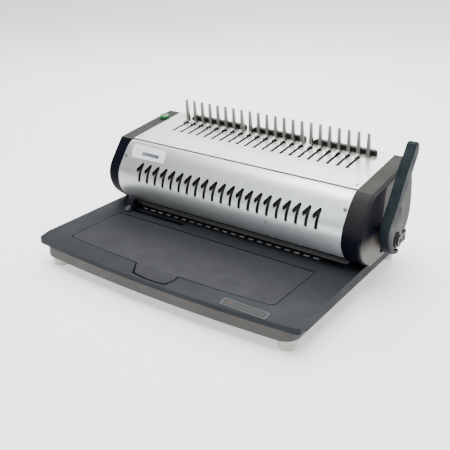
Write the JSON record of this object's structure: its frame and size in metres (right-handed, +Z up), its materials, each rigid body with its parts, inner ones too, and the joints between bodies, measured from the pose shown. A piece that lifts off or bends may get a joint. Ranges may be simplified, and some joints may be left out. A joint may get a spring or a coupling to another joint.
{
  "type": "comb binding machine",
  "caption": "Manual desktop comb binding machine: one pull of the side lever punches the sheets and spreads the plastic comb on the prongs.",
  "frame": {"origin": "middle of the whole machine's bounding box, on the surface its feet stand on", "axes": "+X to the machine's right, where the lever is; +Y to its back; +Z up"},
  "size_m": [0.4316, 0.3201, 0.1902],
  "materials": {
    "base_plastic": "fine textured charcoal moulding",
    "pan_plastic": "plain brownish grey moulding",
    "clear_rubber": "milky translucent soft foot",
    "steel": "plain machined steel",
    "silver_sheet": "silver paint on sheet metal",
    "prong_steel": "stamped steel, satin",
    "black_plastic": "black moulding",
    "cap_plastic": "dark textured moulding",
    "panel_plastic": "light grey moulding",
    "frame_steel": "dark zinc plated frame plate",
    "grip_plastic": "ribbed dark green-black grip",
    "arm_metal": "light grey lever arm",
    "green_plastic": "glossy green button",
    "blank_white": "blank white plate",
    "blank_silver": "blank rating plate"
  },
  "bodies": {
    "machine": {"base_shell": "base_plastic", "base_pan": "pan_plastic", "feet": "clear_rubber", "foot_screws": "steel", "chip_bin": "black_plastic", "label_plate": "blank_silver", "die_plate": "steel", "throat_guide": "black_plastic", "throat_stop": "steel", "punch_guide": "steel", "return_springs": "steel", "left_side_plate": "frame_steel", "right_side_plate": "frame_steel", "tie_rods": "steel", "shaft_bushes": "steel", "slide_rails": "frame_steel", "prong_bar": "steel", "prongs": "prong_steel", "comb_rest_left": "black_plastic", "comb_rest_middle": "black_plastic", "comb_rest_right": "black_plastic", "front_cover": "silver_sheet", "front_liner": "black_plastic", "top_cover": "silver_sheet", "rear_cover": "silver_sheet", "left_end_cap": "cap_plastic", "right_end_cap": "cap_plastic", "right_cap_panel": "panel_plastic", "cover_screws": "steel", "badge_plate": "blank_white", "button_cup": "black_plastic", "button_spring": "steel"},
    "lever": {"main_shaft": "steel", "punch_pinions": "steel", "opener_pinions": "steel", "lever_grip": "grip_plastic", "lever_arm": "arm_metal", "hub_spacer": "arm_metal", "hub_ring": "black_plastic", "lever_bolt": "steel"},
    "punch": {"punch_bar": "steel", "punch_pins": "steel", "punch_racks": "steel"},
    "opener": {"opener_racks": "steel", "hook_bar": "steel", "hooks": "prong_steel"},
    "lid": {"hatch_lid": "base_plastic", "lid_hinge_pins": "steel"},
    "guide": {"edge_guide": "black_plastic", "guide_grip": "panel_plastic"},
    "button": {"release_button": "green_plastic"}
  },
  "joints": [
    {"name": "lever_pull", "type": "hinge", "parent": "machine", "child": "lever", "pos_m": [-0.00735, 0.0635, 0.068], "axis": [1, 0, 0], "range_deg": [0, 72]},
    {"name": "punch_stroke", "type": "slide", "parent": "machine", "child": "punch", "axis": [0, 0, -1], "range_m": [0, 0.011], "stiffness_N_per_m": 700, "springref_m": -0.03, "deforming": ["return_springs"]},
    {"name": "comb_open", "type": "slide", "parent": "machine", "child": "opener", "axis": [0, -0.9932, -0.1162], "range_m": [0, 0.0252]},
    {"name": "lid_lift", "type": "hinge", "parent": "machine", "child": "lid", "pos_m": [-0.01635, -0.031, 0.0395], "axis": [-1, 0, 0], "range_deg": [0, 80]},
    {"name": "guide_slide", "type": "slide", "parent": "machine", "child": "guide", "axis": [1, 0, 0], "range_m": [0, 0.084]},
    {"name": "button_press", "type": "slide", "parent": "machine", "child": "button", "axis": [0, 0.1162, -0.9932], "range_m": [0, 0.003], "stiffness_N_per_m": 400, "springref_m": -0.003, "deforming": ["button_spring"]}
  ],
  "couplings": [
    {"joint": "punch_stroke", "follows": "lever_pull", "m_per_rad": 0.00875},
    {"joint": "comb_open", "follows": "lever_pull", "m_per_rad": 0.02}
  ]
}
